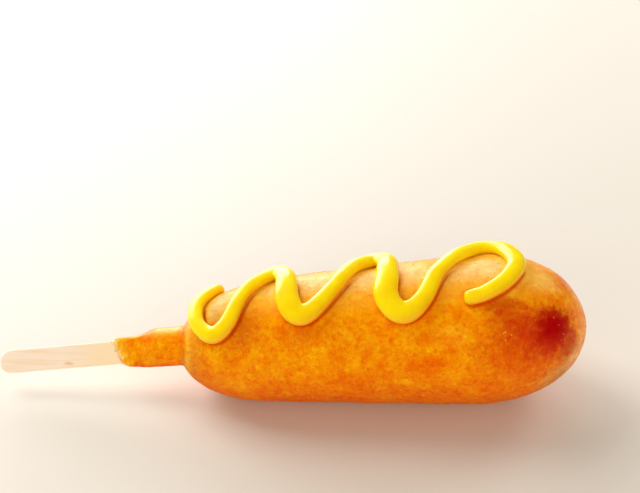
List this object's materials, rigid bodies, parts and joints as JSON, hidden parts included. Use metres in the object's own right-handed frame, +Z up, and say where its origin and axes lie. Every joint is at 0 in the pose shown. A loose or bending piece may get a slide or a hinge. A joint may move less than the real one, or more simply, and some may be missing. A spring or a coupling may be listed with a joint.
{
  "type": "corn dog",
  "caption": "Battered sausage on a flat wooden stick, fried to a blunt golden club that lies on its side, with a wavy line of mustard squeezed along its top.",
  "frame": {"origin": "on the table that the corn dog lies on, under the middle of its overall length and width", "axes": "+X along the corn dog from the free end of the stick to the round tip of the batter, +Z up, -Y towards the front, where the mustard's tail ends"},
  "size_m": [0.1759, 0.0449, 0.0477],
  "materials": {
    "fried_batter": "deep-fried cornmeal batter, dry with a faint oily sheen, golden orange and browned at the tip",
    "yellow_mustard": "smooth wet yellow mustard",
    "birch_stick": "plain sanded pale birch"
  },
  "bodies": {
    "root": {"batter_crust": "fried_batter", "mustard": "yellow_mustard", "stick": "birch_stick"}
  },
  "joints": []
}
